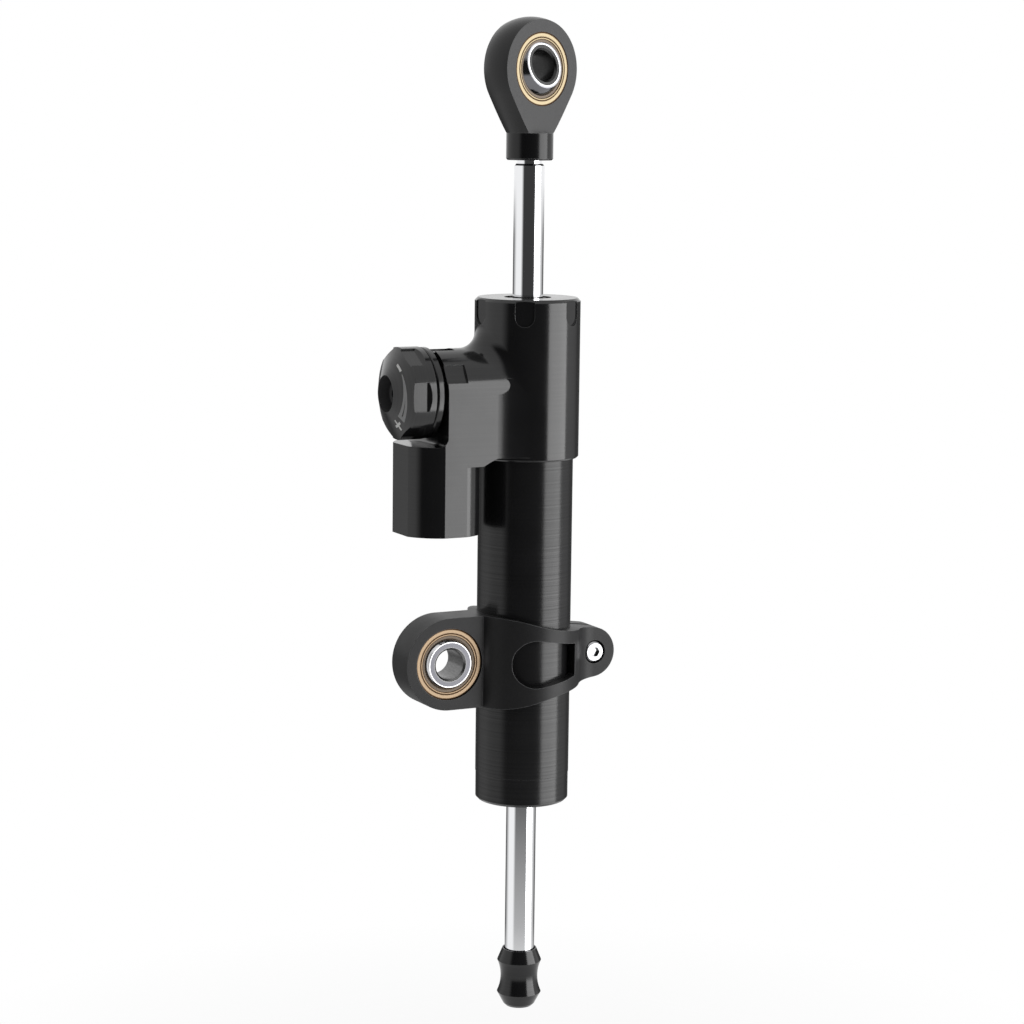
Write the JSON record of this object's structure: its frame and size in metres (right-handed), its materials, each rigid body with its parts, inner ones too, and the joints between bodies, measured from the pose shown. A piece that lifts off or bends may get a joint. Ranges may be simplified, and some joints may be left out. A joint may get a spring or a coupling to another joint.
{
  "type": "motorcycle steering damper",
  "caption": "Through-rod hydraulic steering damper with adjuster knob, side reservoir, swivelling rod end and a tube clamp with a spherical bearing.",
  "frame": {"origin": "centre of the clamp bearing's bore", "axes": "+Z along the rod, from the clamp towards the head and the rod end; +Y along the clamp bearing's bore; the damper's axis is at +X, and the clamp's eye, the knob and the reservoir point to -X"},
  "size_m": [0.0659, 0.03, 0.2648],
  "materials": {
    "black_gloss_metal": "turned and anodised black, glossy",
    "black_satin_metal": "bead blasted and anodised black, satin",
    "rod_chrome": "ground and hard chromed",
    "bright_steel": "bare steel",
    "race_metal": "passivated steel with a yellow tint",
    "bare_aluminium": "turned, bare",
    "valve_brass": "turned brass",
    "bearing_plastic": "filled bearing plastic",
    "black_rubber": "moulded rubber"
  },
  "bodies": {
    "body": {"outer_tube": "black_gloss_metal", "inner_cylinder": "bright_steel", "head_housing": "black_gloss_metal", "upper_gland": "black_gloss_metal", "lower_gland": "black_gloss_metal", "upper_rod_wiper": "black_rubber", "lower_rod_wiper": "black_rubber", "upper_rod_seal": "black_rubber", "lower_rod_seal": "black_rubber", "upper_guide_bush": "bearing_plastic", "lower_guide_bush": "bearing_plastic", "upper_gland_ring": "black_rubber", "lower_gland_ring": "black_rubber", "reservoir_plug": "black_gloss_metal", "reservoir_plug_ring": "black_rubber", "reservoir_clip": "bright_steel", "compensator_spring": "bright_steel", "valve_seat": "valve_brass", "adjuster_bush": "bare_aluminium", "adjuster_bush_ring": "black_rubber", "needle_guide": "valve_brass", "detent_ball": "bright_steel", "detent_spring": "bright_steel", "clamp": "black_satin_metal", "clamp_screw": "bright_steel", "clamp_race": "race_metal"},
    "piston": {"piston": "bare_aluminium", "piston_band": "bearing_plastic"},
    "rod": {"rod": "rod_chrome", "rod_end": "black_satin_metal", "rod_end_race": "race_metal", "bumper": "black_gloss_metal", "upper_rod_clip": "bright_steel", "lower_rod_clip": "bright_steel"},
    "rod_end_liner": {"rod_end_liner": "bearing_plastic"},
    "rod_end_ball": {"rod_end_ball": "bright_steel"},
    "clamp_liner": {"clamp_liner": "bearing_plastic"},
    "clamp_ball": {"clamp_ball": "bright_steel"},
    "knob": {"knob": "black_gloss_metal", "detent_ring": "black_gloss_metal", "knob_screw": "bright_steel", "adjuster_spindle": "bright_steel", "adjuster_spindle_ring": "black_rubber"},
    "needle": {"needle": "bright_steel"},
    "compensator": {"compensator_piston": "bare_aluminium", "compensator_ring": "black_rubber"}
  },
  "joints": [
    {"name": "rod_slide", "type": "slide", "parent": "body", "child": "piston", "axis": [0, 0, 1], "range_m": [-0.0342, 0.0405]},
    {"name": "rod_turn", "type": "hinge", "parent": "piston", "child": "rod", "pos_m": [0.024, 0, 0.0281], "axis": [0, 0, 1], "continuous": true},
    {"name": "rod_end_liner_turn", "type": "hinge", "parent": "rod", "child": "rod_end_liner", "pos_m": [0.024, 0, 0.1544], "axis": [0.3007, -0.9537, 0], "continuous": true},
    {"name": "rod_end_ball_tilt", "type": "hinge", "parent": "rod_end_liner", "child": "rod_end_ball", "pos_m": [0.024, 0, 0.1544], "axis": [-0.9537, -0.3007, 0], "range_deg": [-24.7, 1.3]},
    {"name": "clamp_liner_turn", "type": "hinge", "parent": "body", "child": "clamp_liner", "pos_m": [0, 0, 0], "axis": [0, 1, 0], "continuous": true},
    {"name": "clamp_ball_tilt", "type": "hinge", "parent": "clamp_liner", "child": "clamp_ball", "pos_m": [0, 0, 0], "axis": [1, 0, 0], "range_deg": [-13, 13]},
    {"name": "knob_turn", "type": "hinge", "parent": "body", "child": "knob", "pos_m": [-0.004, 0, 0.0713], "axis": [-1, 0, 0], "range_deg": [-135, 135]},
    {"name": "needle_slide", "type": "slide", "parent": "body", "child": "needle", "axis": [-1, 0, 0], "range_m": [-0.000375, 0.000375]},
    {"name": "compensator_slide", "type": "slide", "parent": "body", "child": "compensator", "axis": [0, 0, 1], "range_m": [-0.003, 0.002], "stiffness_N_per_m": 500, "deforming": ["compensator_spring"]}
  ],
  "couplings": [
    {"joint": "needle_slide", "follows": "knob_turn", "m_per_rad": 0.00015915}
  ]
}
